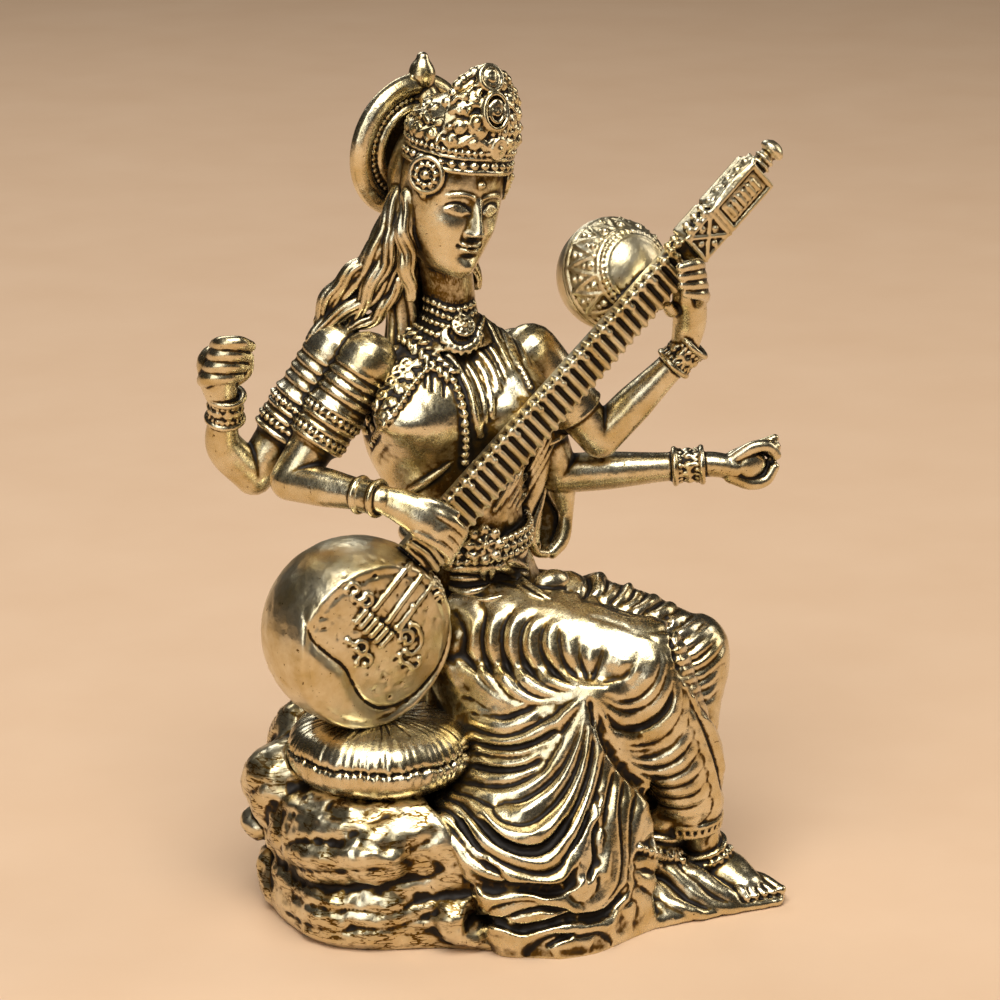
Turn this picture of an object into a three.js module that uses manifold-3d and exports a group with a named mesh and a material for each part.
// A small cast brass figure of Saraswati. She sits on a rock with her legs crossed at the shins, four arms and a
// crown, and plays a veena whose large gourd rests on a round cushion. The whole work is one casting: one solid.
// Millimetres, +Z up. She faces -Y and her right hand is at -X. The origin is on the flat underside.
import * as THREE from "three";
import { mergeVertices } from "three/addons/utils/BufferGeometryUtils.js";
import Module from "manifold-3d";

const wasm = await Module();
wasm.setup();

// Driving sizes in millimetres
const figureHeight = 74;
const plateThickness = 0.9;
const gourdDiameter = 16.4;
const upperGourdDiameter = 9.8;
const neckWidthLow = 3.7;
const neckWidthHigh = 2.9;
const neckDepth = 2.4;
const fretSpacing = 1.3;
const fretHeight = 0.35;
const cushionDiameter = 16.4;
const cushionThickness = 6;
const haloDiameter = 12.8;
const haloThickness = 1.6;
const beadDiameter = 0.9;
const sink = 0.4; // how far a piece that rests on another goes into it, as cast metal does

// The pose is written in shares of the height: one unit is a 74th of it
const unit = figureHeight / 74;
const at = (x, y, z) => new THREE.Vector3(x, y, z).multiplyScalar(unit);
const towards = (x, y, z) => new THREE.Vector3(x, y, z).normalize();
const along = (start, direction, distance) => start.clone().addScaledVector(direction, distance);
const up = new THREE.Vector3(0, 0, 1);
const mix = THREE.MathUtils.lerp;
const brass = new THREE.MeshStandardMaterial({ name: "antique_brass", color: 0xb08d4a, roughness: 0.35, metalness: 1 });

// Closed geometry as a manifold-3d solid, turned outwards where its faces run the other way
function solid(geometry) {
  const bare = geometry.clone();
  for (const name of Object.keys(bare.attributes)) {
    if (name !== "position") bare.deleteAttribute(name);
  }
  const merged = mergeVertices(bare, 1e-4);
  const triVerts = new Uint32Array(merged.index.array);
  const mesh = { numProp: 3, vertProperties: merged.attributes.position.array, triVerts };
  const made = new wasm.Manifold(new wasm.Mesh(mesh));
  if (made.volume() > 0) return made;
  for (let i = 0; i < triVerts.length; i += 3) [triVerts[i], triVerts[i + 1]] = [triVerts[i + 1], triVerts[i]];
  return new wasm.Manifold(new wasm.Mesh(mesh));
}

const joined = (pieces) => pieces.reduce((whole, piece) => whole.add(piece));

// A skin through rings of equal length, closed at each end by a fan
function loft(rings) {
  const sides = rings[0].length;
  const points = rings.flat();
  const faces = [];
  for (let r = 0; r + 1 < rings.length; r++) {
    for (let s = 0; s < sides; s++) {
      const a = r * sides + s;
      const b = r * sides + ((s + 1) % sides);
      faces.push(a, b, b + sides, a, b + sides, a + sides);
    }
  }
  for (const [start, flip] of [[0, true], [(rings.length - 1) * sides, false]]) {
    const middle = new THREE.Vector3();
    for (let s = 0; s < sides; s++) middle.addScaledVector(points[start + s], 1 / sides);
    const hub = points.push(middle) - 1;
    for (let s = 0; s < sides; s++) {
      const a = start + s;
      const b = start + ((s + 1) % sides);
      faces.push(...(flip ? [b, a, hub] : [a, b, hub]));
    }
  }
  return solid(new THREE.BufferGeometry().setFromPoints(points).setIndex(faces));
}

const circle = (sides, place) => Array.from({ length: sides }, (_, s) => place((2 * Math.PI * s) / sides, s));

// Radii spread evenly along a limb, as pairs of its share of the path and the radius there
const even = (...radii) => radii.map((radius, i) => [i / (radii.length - 1), radius]);

// Radii that rise and fall from one ring to the next, for pleats, folds and rows of beads
const ripples = (from, to, count, startRadius, endRadius, depth) =>
  Array.from({ length: 2 * count }, (_, i) => {
    const share = i / (2 * count - 1);
    return [mix(from, to, share), mix(startRadius, endRadius, share) + (i % 2 ? depth : -depth)];
  });

// A tube along a smooth path with one ring at each station. flat thins it along a direction, and sag slides each
// ring's points along the path on the side that it names, as hanging folds do. round counts the rings that round
// off the start and the end.
function limb(path, stations, { sides = 8, flat = up, by = 1, first = up, sag = null, round = [1, 1] } = {}) {
  const curve = new THREE.CatmullRomCurve3(path, false, "centripetal");
  const list = stations.map(([t, radius]) => ({ t, radius: radius * unit, slide: 0 }));
  const caps = [[], [[0.7, 0.72]], [[0.5, 0.87], [0.86, 0.5]]];
  const [start, end] = [list[0].radius, list.at(-1).radius];
  for (const [out, size] of caps[round[0]]) list.unshift({ t: 0, radius: start * size, slide: -start * out });
  for (const [out, size] of caps[round[1]]) list.push({ t: 1, radius: end * size, slide: end * out });
  let normal = Math.abs(curve.getTangent(0).dot(first)) > 0.95 ? new THREE.Vector3(0, -1, 0) : first.clone();
  return loft(list.map(({ t, radius, slide }) => {
    const tangent = curve.getTangent(t);
    normal = along(normal, tangent, -normal.dot(tangent)).normalize();
    const side = new THREE.Vector3().crossVectors(tangent, normal);
    const middle = along(curve.getPoint(t), tangent, slide);
    return circle(sides, (angle) => {
      const spoke = normal.clone().multiplyScalar(Math.cos(angle) * radius).addScaledVector(side, Math.sin(angle) * radius);
      spoke.addScaledVector(flat, (by - 1) * spoke.dot(flat));
      if (sag) spoke.addScaledVector(tangent, (sag.amount * unit * spoke.dot(sag.side)) / radius);
      return spoke.add(middle);
    });
  }));
}

// A stretched ball, turned by Euler angles
function ball(centre, [rx, ry, rz], { turn = [0, 0, 0], detail = [6, 4] } = {}) {
  const geometry = new THREE.SphereGeometry(unit, ...detail);
  geometry.rotateX(Math.PI / 2).scale(rx, ry, rz);
  geometry.applyMatrix4(new THREE.Matrix4().makeRotationFromEuler(new THREE.Euler(...turn)));
  return solid(geometry.translate(centre.x, centre.y, centre.z));
}

// A turned shape, its own axis laid along a direction
function turned(profile, centre, axis, segments) {
  const geometry = new THREE.LatheGeometry(profile.map(([r, h]) => new THREE.Vector2(r, h)), segments);
  geometry.applyQuaternion(new THREE.Quaternion().setFromUnitVectors(new THREE.Vector3(0, 1, 0), axis));
  return solid(geometry.translate(centre.x, centre.y, centre.z));
}
const scaled = (profile) => profile.map(([r, h]) => [r * unit, h * unit]);

// Beads on a cord: one tube that swells at each bead
const beads = (path, count, radius = beadDiameter / 2 / unit) =>
  limb(path, ripples(0, 1, count, radius * 0.8, radius * 0.8, radius * 0.2), { sides: 4, round: [0, 0] });

// Where the veena lies: from beside her waist up past her left shoulder, its sounding board to the front
const gourdCentre = at(-11.9, 3.3, 26.2);
const gourdRadius = gourdDiameter / 2;
const neckStart = at(-8.4, -0.8, 32.8);
const neckEnd = at(17.4, -7.6, 58.6);
const neckLine = neckEnd.clone().sub(neckStart).normalize();
const boardFace = towards(-0.14, -0.98, -0.12);
boardFace.addScaledVector(neckLine, -boardFace.dot(neckLine)).normalize();
const cushionTop = gourdCentre.z - gourdRadius + sink;
const ledge = cushionTop - cushionThickness + 2 * sink;

// Rough rock: rings whose reach at each angle is a smooth curve through a few radii, with ledges that swell and shrink
function stone(centre, reach, levels, roughness, sides) {
  const reachAt = (angle) => {
    const place = (angle / (2 * Math.PI)) * reach.length;
    const i = Math.floor(place) % reach.length;
    const ease = (1 - Math.cos((place % 1) * Math.PI)) / 2;
    return mix(reach[i], reach[(i + 1) % reach.length], ease) * unit;
  };
  return loft(levels.map(([z, share], level) => circle(sides, (angle) => {
    const bump = 1 + roughness * (Math.sin(3 * angle + level * 1.9) + 0.7 * Math.sin(7 * angle - level * 2.3));
    const r = reachAt(angle) * share * bump;
    return new THREE.Vector3(centre.x + r * Math.cos(angle), centre.y + r * Math.sin(angle), z);
  })));
}

function seatRock() {
  const lower = stone(at(-2, 1, 0), [14.6, 14.2, 14.5, 17.8, 17, 12.6, 14.6, 14.2], [
    [0, 1], [ledge * 0.14, 1.03], [ledge * 0.32, 1], [ledge * 0.4, 0.94], [ledge * 0.64, 1.06],
    [ledge * 0.9, 1], [ledge, 0.86],
  ], 0.025, 18);
  const seat = stone(at(4.5, 6, 0), [9, 9.5, 10, 10, 8, 8.5, 8.5, 8], [
    [ledge * 0.6, 1.15], [ledge, 1.08], [ledge + 3 * unit, 1], [19.5 * unit, 0.84], [21.5 * unit, 0.6],
  ], 0.03, 10);
  return joined([
    lower,
    seat,
    ball(at(-9.5, 11.6, 13.6), [5.4, 4.4, 4.4], { turn: [0.2, 0.1, 0.4] }),
    ball(at(-15.6, 9, 11.6), [4.4, 4.6, 4], { turn: [0, 0.3, 0.2] }),
    ball(at(-14.2, -3, 8.6), [4.2, 3.6, 3], { turn: [0.1, -0.2, 0.6] }),
    ball(at(-7.4, -8.2, 2.8), [4.6, 3, 2.8], { turn: [0, 0.1, -0.6] }),
    ball(at(17.4, -6.4, 2), [3.2, 3.6, 2.2], { turn: [0, 0.2, -0.3] }),
  ]);
}

// The thin plate under her feet
function footPlate() {
  const outline = [[-2, -14], [3.8, -14.6], [11, -16.7], [18.4, -18.6], [20.2, -16.8], [20.8, -11], [19.6, -4], [14, 2], [0, 2]];
  const shape = new THREE.Shape(outline.map(([x, y]) => new THREE.Vector2(x * unit, y * unit)));
  return solid(new THREE.ExtrudeGeometry(shape, { depth: plateThickness, bevelEnabled: false }));
}

// A round stuffed cushion under the gourd, with a stitched seam round its middle
function cushion() {
  const r = cushionDiameter / 2;
  const h = cushionThickness / 2;
  const half = [[0.6, 1], [0.9, 0.75], [1, 0.25], [0.96, 0.05]];
  const profile = [[0, -0.97 * h], ...half.map(([a, b]) => [a * r, -b * h]), ...half.toReversed().map(([a, b]) => [a * r, b * h]), [0, 0.85 * h]];
  return turned(profile, at(-10.1, 2.5, 0).setZ(cushionTop - h), up, 15);
}

// The cloth that hangs from her lap over the front of the rock: points across it at six levels
const drapeLevels = [
  [22.4, [-4.6, 0], [-2.9, -4.8], [-0.1, -8.2], [2.7, -12.2], [7, -12.6]],
  [14, [-5.4, -3.4], [-5.2, -6.8], [-3.2, -10.2], [0.8, -13.2], [7.4, -13.2]],
  [11.4, [-10.2, -6.2], [-8.2, -9.2], [-4.8, -12.4], [-0.6, -14.2], [6.9, -13.9]],
  [8.2, [-10.4, -9.2], [-8, -12.4], [-5, -14.3], [-1.2, -15.2], [6.8, -14.6]],
  [4, [-8.8, -11.2], [-6.4, -13.4], [-4, -14.9], [-0.6, -15.8], [6.6, -15]],
  [-0.6, [-7.8, -11.6], [-5.6, -13.6], [-3.6, -15.2], [-1, -16], [6, -15]],
];
const drapeColumns = [0, 1, 2, 3, 4].map((c) =>
  new THREE.CatmullRomCurve3(drapeLevels.map(([z, ...front]) => at(...front[c], z))));

// Folds of that cloth: swags that sag from her lap and rise to the knee, and pleats that fall from the knee
function drapeRelief(across, down) {
  let height = 0;
  for (let i = 0; i < 4; i++) {
    const share = THREE.MathUtils.clamp((across - 0.04) / 0.76, 0, 1);
    const line = mix(0.04 + 0.17 * i, 0.04 + 0.06 * i, share) + (0.08 + 0.09 * i) * Math.sin(Math.PI * share ** 1.2);
    height += Math.exp(-(((down - line) / 0.05) ** 2)) * (across < 0.82 ? 1 : 0);
  }
  const falls = THREE.MathUtils.smoothstep(across, 0.7, 0.8) * (0.5 + 0.5 * Math.cos(across * 44 - down * 4));
  return (1.1 * height + 1 * falls) * unit;
}

function drape() {
  const columns = 13;
  const rows = 13;
  return loft(Array.from({ length: rows + 1 }, (_, r) => {
    const down = r / rows;
    const line = new THREE.CatmullRomCurve3(drapeColumns.map((column) => column.getPoint(down)));
    const front = Array.from({ length: columns + 1 }, (_, c) => {
      const across = c / columns;
      return along(line.getPoint(across), towards(-0.6, -0.77, 0.2), drapeRelief(across, down));
    });
    const level = line.getPoint(0.5).z;
    const back = [at(8, 0, 0), at(0, 3, 0), at(-5, 3, 0)].map((point) => point.setZ(level));
    return [...front.map((point) => (r === rows ? point.setZ(level) : point)), ...back];
  }));
}

// Rings round the body: its middle, half its width, half its depth, and its turn towards the gourd in degrees
const torsoLevels = [
  [2.8, 4.6, 19.5, 5.6, 5, 0], [2.6, 4.5, 24, 6.9, 5.6, 0], [2, 4.5, 28.2, 5.9, 4.8, 0], [1.1, 4.5, 31.6, 5, 4, -8],
  [0.3, 4.7, 35.4, 5.7, 4, -12], [-0.3, 4.9, 38.8, 6.5, 4.1, -17], [-0.4, 5.1, 41.2, 6.8, 4.2, -18],
  [-0.3, 5.4, 43.6, 7, 4.2, -18],
  [0, 5.6, 46, 7.2, 3.9, -18], [0, 5.8, 48, 7.2, 3.3, -18], [0, 6, 50.2, 4.8, 2.6, -18], [0, 5.9, 52, 2.4, 2, -18],
];

// A point on the body at a height and at an angle about it, where -90 degrees is the front
function bodyPoint(height, degrees, lift = 0) {
  const above = Math.max(1, torsoLevels.findIndex(([, , z]) => z >= height));
  const [low, high] = [torsoLevels[above - 1], torsoLevels[above]];
  const [x, y, z, wide, deep, yaw] = low.map((value, i) => mix(value, high[i], (height - low[2]) / (high[2] - low[2])));
  const angle = THREE.MathUtils.degToRad(degrees);
  const bust = [-122, -57].reduce((sum, side) => sum + Math.exp(-(((degrees - side) / 25) ** 2)), 0);
  const reach = 1 + 0.85 * bust * Math.exp(-(((z - 44) / 3.2) ** 2));
  return at(wide * Math.cos(angle) * reach, deep * Math.sin(angle) * reach - lift, 0)
    .applyAxisAngle(up, THREE.MathUtils.degToRad(yaw)).add(at(x, y, z));
}

const torso = () => loft(torsoLevels.map(([, , z]) => circle(15, (turn) => bodyPoint(z, THREE.MathUtils.radToDeg(turn) - 180))));

// Crossed legs in pleated trousers: folds run round the thighs and sag across the shins. The cloth that spreads
// below them covers her left foot and runs out on the plate.
function legs() {
  const under = { amount: 0.9, side: towards(-0.6, 0.2, -0.7) };
  const hang = { amount: 1.1, side: towards(-0.8, -0.5, 0) };
  const rightThigh = limb([at(-0.6, 3.6, 24.2), at(3.6, -4.2, 23.8), at(8.2, -10.8, 22.6)],
    [[0, 5], ...ripples(0.3, 0.62, 3, 4.6, 4.3, 0.24), [1, 4.1]], { sides: 10, sag: under, round: [0, 2] });
  const rightShin = limb([at(8.4, -11.2, 21.8), at(11.4, -12.2, 13.4), at(13.3, -11.9, 7.2)],
    [[0, 4], ...ripples(0.1, 0.84, 5, 3.9, 2.6, 0.24), [0.9, 2.8], [1, 2.6]], { sides: 9, sag: hang, round: [1, 0] });
  const leftThigh = limb([at(5.6, 3.4, 23.6), at(11.4, -2.6, 23), at(15.8, -7.4, 21)],
    [[0, 4.6], [0.3, 4.4], ...ripples(0.55, 0.9, 2, 4.1, 3.8, 0.2), [1, 3.7]], { sides: 8, sag: under, round: [0, 1] });
  const leftShin = limb([at(16.2, -7.6, 20.8), at(13.4, -9.4, 13), at(10.8, -10.6, 7)],
    [[0, 3.7], ...ripples(0.15, 0.35, 1, 3.5, 3.1, 0.2), [1, 2.4]], { sides: 7, sag: hang, round: [1, 0] });
  const rightAnkle = limb([at(13.4, -11.9, 7.6), at(14.7, -11.8, 4.4), at(15.2, -11.6, 2)],
    [[0, 2], [0.4, 1.8], [0.46, 2.3], [0.62, 2.2], [1, 1.9]], { sides: 6, round: [0, 0] });
  const leftAnkle = limb([at(10.7, -10.6, 7.4), at(10, -10.8, 4.4), at(10, -10.6, 2)],
    [[0, 2], [0.4, 1.8], [0.46, 2.3], [0.62, 2.2], [1, 1.9]], { sides: 6, round: [0, 0] });
  const hem = limb([at(9.4, -10.2, 4), at(11.4, -13.2, 2.4), at(13.6, -16.2, 1.2)], even(1.9, 1.7, 0.8), { sides: 6, round: [0, 0] });
  return joined([rightThigh, rightShin, leftThigh, leftShin, rightAnkle, leftAnkle, hem]);
}

// A bare foot: heel, instep and five toes
function foot(heel, direction) {
  const side = new THREE.Vector3(-direction.y, direction.x, 0);
  const spot = (forward, lift) => along(heel, direction, forward * unit).setZ(plateThickness + lift * unit);
  const instep = limb([spot(-1, 1.2), spot(2, 1.5), spot(4.6, 0.7)], even(1.6, 1.75, 1.2), { sides: 6, flat: side, by: 1.15, round: [1, 0] });
  const toes = lobes(5, [[spot(3.6, 0.6), side, up, 0.32], [spot(5.8, 0.3), side, up, 0.38], [spot(6.7, 0.1), side, up, 0.33]]);
  return joined([instep, toes]);
}

// An arm in a pleated short sleeve with two beaded bands, and a broad bangle at the wrist
function arm(shoulder, elbow, wrist, { reach = 2.5, pleats = 2 } = {}) {
  const upper = limb([shoulder, shoulder.clone().lerp(elbow, 0.5), elbow], [
    [0, reach], ...ripples(0.1, 0.38, pleats, reach, reach - 0.1, 0.14), [0.46, 2.6], [0.67, 2.45], [0.7, 2], [1, 1.8],
  ], { sides: 6, round: [0, 1] });
  const lower = limb([elbow, elbow.clone().lerp(wrist, 0.5), wrist],
    [[0, 1.75], [0.4, 1.7], [0.74, 1.25], [0.76, 1.55], [0.94, 1.45], [1, 1.2]], { sides: 6, round: [0, 0] });
  return joined([upper, lower]);
}

// Fingers, toes or locks side by side: one skin with a lobe for each, through a few places along them. Each place
// is its middle, the line across the lobes, the direction that their rounded side faces, and a size.
function lobes(count, places) {
  return loft(places.map(([middle, across, out, size]) => {
    const spot = (aside, lift) => along(along(middle, across, aside * size * unit), out, lift * size * unit);
    const ring = [];
    for (let i = 0; i < count; i++) {
      const centre = 2 * i + 1 - count;
      if (i) ring.push(spot(centre - 1, 0.3));
      ring.push(spot(centre, 1));
    }
    return [spot(-count, 0), ...ring, spot(count, 0), spot(count - 0.5, -0.8), spot(0.5 - count, -0.8)];
  }));
}

// A hand: a palm, then four fingers that curl through a few places, each wide along the line across them
function hand(wrist, palm, curl, across, size = 0.5, radii = [1.15, 1.4, 1.4]) {
  const blade = limb([wrist, wrist.clone().lerp(palm, 0.6), palm], even(...radii), { sides: 6, round: [0, 1] });
  const points = curl.map((p) => at(...p));
  const places = points.map((point, i) => {
    const run = points[Math.min(i + 1, points.length - 1)].clone().sub(points[Math.max(i - 1, 0)]).normalize();
    const out = new THREE.Vector3().crossVectors(run, across).normalize();
    return [point, across, out, size * (i === points.length - 1 ? 0.8 : 1)];
  });
  return joined([blade, lobes(4, places)]);
}

function arms() {
  const rightFront = arm(at(-7.6, 7.4, 48.4), at(-14.2, 9.6, 38.6), at(-11, 0.8, 38.4), { reach: 2.7 });
  const rightBack = arm(at(-7.4, 9.6, 48.2), at(-15, 14, 38.2), at(-18.6, 12.8, 45.2), { pleats: 0 });
  const leftFront = arm(at(7.6, 4, 47.6), at(13.2, 1.2, 39.4), at(19, -3.1, 47), { pleats: 0 });
  const leftBack = arm(at(7.4, 6, 47), at(11.4, 4.8, 35.6), at(20.4, -2.4, 36.4), { reach: 2.3, pleats: 0 });
  const strum = hand(at(-11, 0.8, 38.4), at(-8.8, -1.8, 37), [[-9.2, -2.2, 36.6], [-7.4, -3.6, 35.8], [-6.3, -3.8, 34.2]],
    towards(-0.42, 0.1, -0.9));
  const raised = hand(at(-18.4, 12.7, 45.2), at(-19.8, 11.6, 49.2), [[-20.4, 11.4, 49.6], [-20, 9.8, 50.2], [-18.4, 9.2, 49.6]],
    towards(-0.2, 0.3, -0.93), 0.55, [1.15, 1.6, 1.8]);
  const grip = hand(at(18.6, -3.1, 47), at(18.1, -4.9, 52.8), [[17.8, -5.4, 53.6], [16.4, -7.8, 54.6], [14.2, -8.6, 55.4]],
    towards(0.25, 0.1, -0.96));
  const palm = at(23.4, -4.6, 36.4);
  const open = [
    limb([at(20.4, -2.4, 36.4), palm], even(1.15, 1.5), { sides: 6 }),
    ...[[[24, -5, 35.4], [25.8, -6, 34.9], [27, -6.6, 36.2]], [[24, -5.4, 36.2], [25.8, -6.8, 36], [26.8, -7.2, 37.6]],
      [[22.8, -5, 37], [24.4, -6.2, 38.4], [26, -6.8, 38]]].map((points) =>
      limb(points.map((p) => at(...p)), even(0.6, 0.55, 0.5), { sides: 4, round: [0, 1] })),
  ];
  return joined([rightFront, rightBack, leftFront, leftBack, strum, raised, grip, ...open]);
}

// The large gourd with its sounding board, the fretted neck, the pegbox with a finial, and the upper gourd
function veena() {
  const boardOffset = gourdRadius * 0.4;
  const boardRadius = Math.sqrt(gourdRadius ** 2 - boardOffset ** 2);
  const boardCentre = along(gourdCentre, boardFace, boardOffset);
  const bowl = circle(6, (_, i) => {
    const angle = Math.PI - ((Math.PI - Math.acos(0.4)) * (5 - i)) / 5;
    return [gourdRadius * Math.sin(angle), gourdRadius * Math.cos(angle)];
  });
  bowl.unshift([0, boardOffset + 0.4 * unit], [boardRadius * 0.84, boardOffset + 0.3 * unit], [boardRadius * 0.9, boardOffset - 0.3 * unit]);
  bowl[bowl.length - 1][0] = 0;
  const gourd = turned(bowl, gourdCentre, boardFace, 15);

  const across = new THREE.Vector3().crossVectors(neckLine, boardFace).normalize();
  const length = neckEnd.distanceTo(neckStart);
  const neckPoint = (aside, out, distance) => along(along(along(neckStart, neckLine, distance), across, aside), boardFace, out);
  const widthAt = (distance) => mix(neckWidthLow, neckWidthHigh, distance / length);
  const section = [[-0.5, 0], [0.5, 0], [0.42, -0.7], [0, -1], [-0.42, -0.7]];
  const neckRing = (distance, lift) => section.map(([a, o]) =>
    neckPoint(a * widthAt(distance), o ? o * neckDepth : lift, distance));
  const fretStart = gourdRadius * 0.5;
  const frets = Array.from({ length: Math.floor((length - fretStart) / fretSpacing) }, (_, i) =>
    [[0, 0], [0.4, fretHeight]].map(([share, lift]) => neckRing(fretStart + (i + share) * fretSpacing, lift)));
  const neck = loft([neckRing(0, 0), ...frets.flat(), neckRing(length, 0)]);
  const block = (wide, deep, start, end, out = 0) => loft([start, end].map((d) =>
    [[-0.5, -0.5], [0.5, -0.5], [0.5, 0.5], [-0.5, 0.5]].map(([a, o]) => neckPoint(a * wide, out + o * deep, d))));
  const pegboxLength = 7.4 * unit;
  const mid = -neckDepth * 0.4;
  const head = [
    block(neckWidthHigh * 1.1, neckDepth * 1.1, length - 1.4 * unit, length + 1.8 * unit, mid),
    block(neckWidthHigh * 0.9, neckDepth * 0.9, length + 1.6 * unit, length + 2.2 * unit, mid),
    block(neckWidthHigh * 1.12, neckDepth * 1.1, length + 2 * unit, length + pegboxLength, mid),
    turned(scaled([[0, -0.4], [0.9, -0.3], [0.9, 0.1], [1.05, 0.6], [0.72, 1], [1.1, 2.1], [0, 2.9]]),
      neckPoint(0, mid, length + pegboxLength), neckLine, 6),
  ];
  const pegs = [3.8, 5.2, 6.5].map((d) =>
    turned(scaled([[0, -2.2], [0.5, -2.1], [0.5, 2.1], [0, 2.2]]), neckPoint(0, mid, length + d * unit), across, 4));
  const upperRadius = upperGourdDiameter / 2;
  const upper = turned([[0, -1], [0.5, -0.87], [0.84, -0.5], [1, -0.14], [1, 0.14], [0.84, 0.5], [0.5, 0.87], [0, 1]]
    .map(([r, h]) => [r * upperRadius, h * upperRadius]), at(13.9, 0.5, 54.2), towards(0.62, -0.77, 0.1), 11);
  const stem = limb([at(13.9, 0.5, 54.2), neckPoint(0, -neckDepth, 29.5 * unit)], even(1.5, 1.5), { sides: 5, round: [0, 0] });
  return joined([gourd, neck, ...head, ...pegs, upper, stem]);
}

// The head leans a little to her left and looks a little down
const headCentre = at(-1, 4.2, 62.3);
const gaze = towards(-0.05, -0.99, -0.09);
const crownLine = towards(0.14, -0.12, 0.98);
crownLine.addScaledVector(gaze, -crownLine.dot(gaze)).normalize();
const headSide = new THREE.Vector3().crossVectors(gaze, crownLine);
const onHead = (x, y, z) =>
  along(along(along(headCentre, headSide, x * unit), gaze, -y * unit), crownLine, z * unit);

// A turned shape or ball of the head, laid in its own frame
const headFrame = new THREE.Matrix4().makeBasis(headSide, gaze.clone().negate(), crownLine);
const headTurn = new THREE.Euler().setFromRotationMatrix(headFrame).toArray().slice(0, 3);
const headBall = (spot, radii, detail) => ball(onHead(...spot), radii, { turn: headTurn, detail });

function head() {
  // Height, half width, how far the face and the back of the skull reach
  const levels = [
    [-6, 1.2, 3.6, -1.4], [-5.2, 2, 3.9, -0.2], [-3.6, 3.4, 3.9, 1.8], [-1.4, 4.1, 4, 3.6], [0.6, 4.4, 3.7, 4.8],
    [2.2, 4.5, 4.1, 5], [4, 4.2, 3.7, 4.8],
  ];
  const skull = loft(levels.map(([z, wide, front, back]) => circle(12, (angle) => {
    const reach = Math.sin(angle) < 0 ? front : back;
    return onHead(wide * Math.cos(angle), reach * Math.sin(angle), z);
  })));
  const neck = limb([at(-0.2, 5.4, 49.6), at(-0.3, 5.4, 54), onHead(0, 0.6, -3)], [[0, 3.9], [0.16, 3.2], [0.3, 2.2], [1, 2.2]],
    { sides: 7, round: [0, 0] });
  const nose = limb([onHead(0, -3.7, 0.6), onHead(0, -4.5, -0.9), onHead(0, -4.7, -1.5)], even(0.4, 0.75), { sides: 4 });
  const mouth = limb([onHead(-1.1, -3.4, -3), onHead(0, -4.2, -3.2), onHead(1.1, -3.4, -3)], even(0.3, 0.55, 0.3), { sides: 4, round: [0, 0] });
  const sides = [-1, 1].flatMap((s) => [
    headBall([s * 1.8, -3.3, 0], [0.95, 0.55, 0.5], [6, 3]),
    turned(scaled([[0, -0.9], [1.45, -0.8], [1.45, 0.2], [0, 0.6]]), onHead(s * 4.3, -1.4, 2.5),
      along(headSide.clone().multiplyScalar(s), gaze, 0.6).normalize(), 8),
  ]);
  return joined([skull, neck, nose, mouth, ...sides]);
}

// The crown: a beaded band, a swelling cap of flowers, and a tall front that steps up to a peak
function crown() {
  const cap = turned(scaled([[0, 3.1], [4.6, 3.1], [4.9, 3.5], [4.6, 4.1], [4.8, 5.4], [4.4, 6.8], [3, 8.4], [0, 9.3]]),
    onHead(-0.2, 0.3, 0), crownLine, 12);
  const front = limb([onHead(0, -3.2, 4), onHead(0, -3.4, 7.2), onHead(0, -2.8, 9.7)], even(4, 3.9, 2.5),
    { sides: 7, flat: gaze, by: 0.4, round: [0, 1] });
  const flowers = [[-3.4, -3, 5.6, 1.2], [0, -4.5, 5.6, 1.1], [3.4, -3, 5.6, 1.2], [0, -4.4, 8.5, 1.4], [0, -3.6, 11.1, 1]];
  return joined([cap, front, ...flowers.map(([x, y, z, r]) => headBall([x, y, z], [r, r * 0.7, r], [5, 3]))]);
}

// The round halo behind the crown, with a raised beaded rim, and a flame on top
function halo() {
  const r = haloDiameter / 2;
  const h = haloThickness;
  const centre = at(-1, 10, 66.1);
  const facing = towards(0.06, -0.985, -0.14);
  const disc = turned([[0, -0.6 * h], [r * 0.68, -0.7 * h], [r * 0.76, -0.4 * h], [r * 0.88, -1.1 * h],
    [r, 0], [0, 1.1 * h]], centre, facing.clone().negate(), 14);
  const flame = limb([[0.1, 8.9, 70.8], [-0.1, 9, 72.4], [-0.2, 9, 73.55]].map((p) => at(...p)), even(1.1, 1.2, 0.5), { sides: 5, round: [0, 1] });
  const bun = headBall([0, 3.6, 3], [3.8, 3.2, 4.6], [7, 5]);
  return joined([disc, flame, bun]);
}

// Locks of hair that fall over her right shoulder and down her back
function hair() {
  const locks = [
    [[-5, 5, 63.2], [-5.6, 4.9, 59.6], [-5.6, 4.8, 56.4], [-5.4, 4.6, 53]],
    [[3, 6.2, 62], [3.4, 6.8, 58], [3.8, 7, 54.6], [4, 6.8, 52]],
    [[-3.6, 7, 62.6], [-6, 7.8, 58], [-8.4, 8.8, 55], [-9, 9.8, 51]],
  ].map((path, i) => limb(path.map((p) => at(...p)), i < 2 ? even(1.1, 1.2, 1.1, 0.7) : even(1.6, 2, 1.9, 1.2),
    { sides: 5, round: [0, 1] }));
  const side = towards(1, 0.05, 0);
  const back = lobes(4, [[at(-1, 8, 62), 1], [at(-0.6, 9, 52), 1.5], [at(-0.6, 9, 45), 1.6], [at(-0.2, 8.4, 36), 1.3], [at(0.8, 8, 28), 1]]
    .map(([middle, size]) => [middle, side, towards(0, 1, 0), size]));
  return joined([...locks, back]);
}

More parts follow.
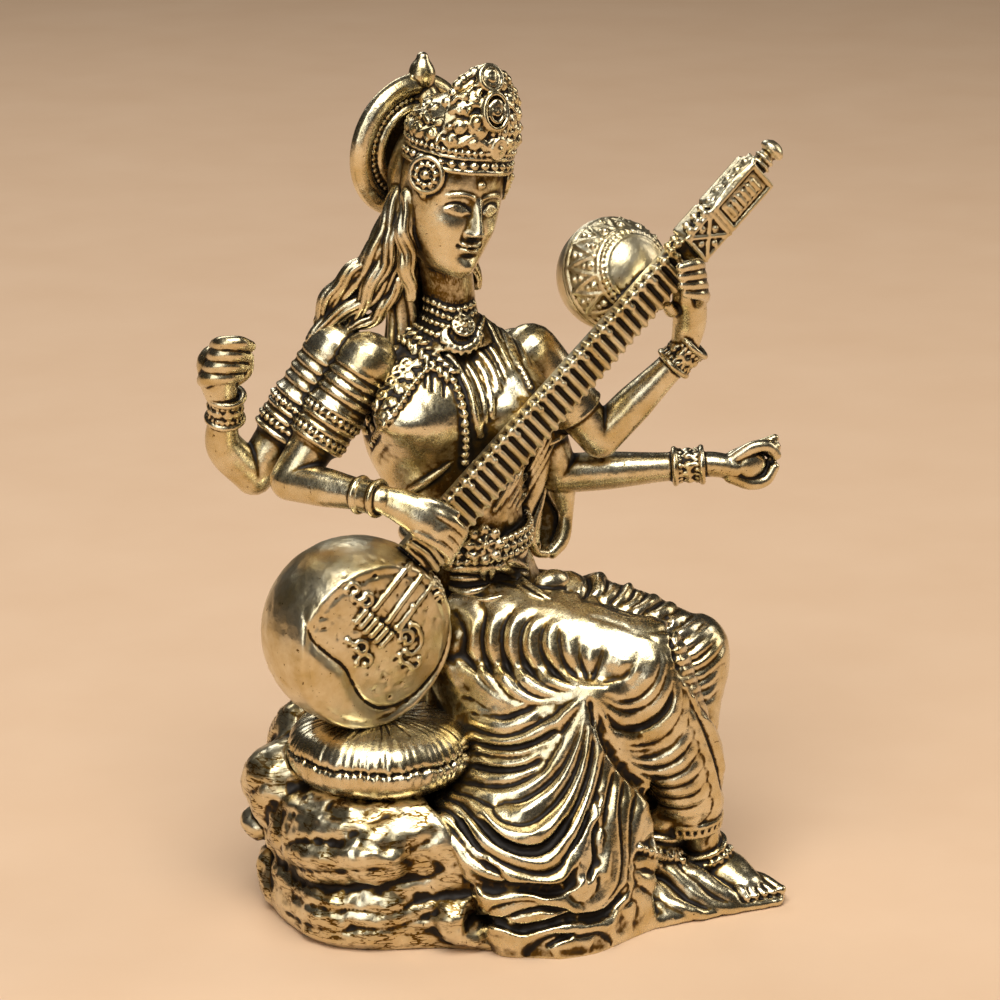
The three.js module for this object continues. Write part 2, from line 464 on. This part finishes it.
// Necklaces, the long string between the breasts, the belt with its rosette, and the end of the shawl
function jewellery() {
  const spots = (...points) => points.map((p) => at(...p));
  const necklace = beads([[50.4, -170], [48.6, -130], [47.2, -92], [48.6, -50], [50.4, -10]].map(([z, turn]) => bodyPoint(z, turn)), 4);
  const pendant = ball(bodyPoint(46.2, -92), [1.3, 0.9, 1.5], { turn: [0, 0, -0.3] });
  const belt = limb(spots([-4, 4, 31], [-2.6, 1.2, 30.6], [0.6, -0.2, 30.4], [4, 1, 30.8], [6, 3.8, 31.2]), ripples(0, 1, 3, 0.95, 0.95, 0.15), { sides: 5, round: [0, 0] });
  const rosette = ball(at(-0.6, 0, 31), [1.7, 0.9, 1.7], { turn: [0, 0, -0.3], detail: [7, 4] });
  const knot = limb(spots([-0.6, -0.2, 29.4], [0.2, -1.4, 28], [2.4, -2.4, 27.6]), even(1.3, 1.4, 0.8), { sides: 5, round: [0, 1] });
  const shawl = limb(spots([9.6, 4.6, 36], [10, 4, 33.4], [10.2, 3.8, 30.4]), even(1.5, 1.9, 1.2), { sides: 6, round: [0, 1], flat: towards(0.6, 0.8, 0), by: 0.7 });
  return joined([necklace, pendant, belt, rosette, knot, shawl]);
}

function geometryOf(manifold) {
  const mesh = manifold.getMesh();
  const positions = new Float32Array(mesh.numVert * 3);
  for (let i = 0; i < mesh.numVert; i++) {
    positions.set(mesh.vertProperties.subarray(i * mesh.numProp, i * mesh.numProp + 3), i * 3);
  }
  const geometry = new THREE.BufferGeometry();
  geometry.setAttribute("position", new THREE.BufferAttribute(positions, 3));
  return geometry.setIndex(new THREE.BufferAttribute(new Uint32Array(mesh.triVerts), 1));
}

const rightFoot = foot(at(15.4, -11.4, 0), towards(0.26, -0.965, 0));
const body = [seatRock(), footPlate(), cushion(), drape(), torso(), legs(), rightFoot, arms(), veena(), head(), crown(), halo(), hair(), jewellery()];
const below = new THREE.BoxGeometry(4 * figureHeight, 4 * figureHeight, figureHeight).translate(0, 0, -figureHeight / 2);
const casting = new THREE.Mesh(geometryOf(joined(body).subtract(solid(below))), brass);
casting.name = "saraswati_casting";

const figure = new THREE.Group();
figure.add(casting);
export default figure;
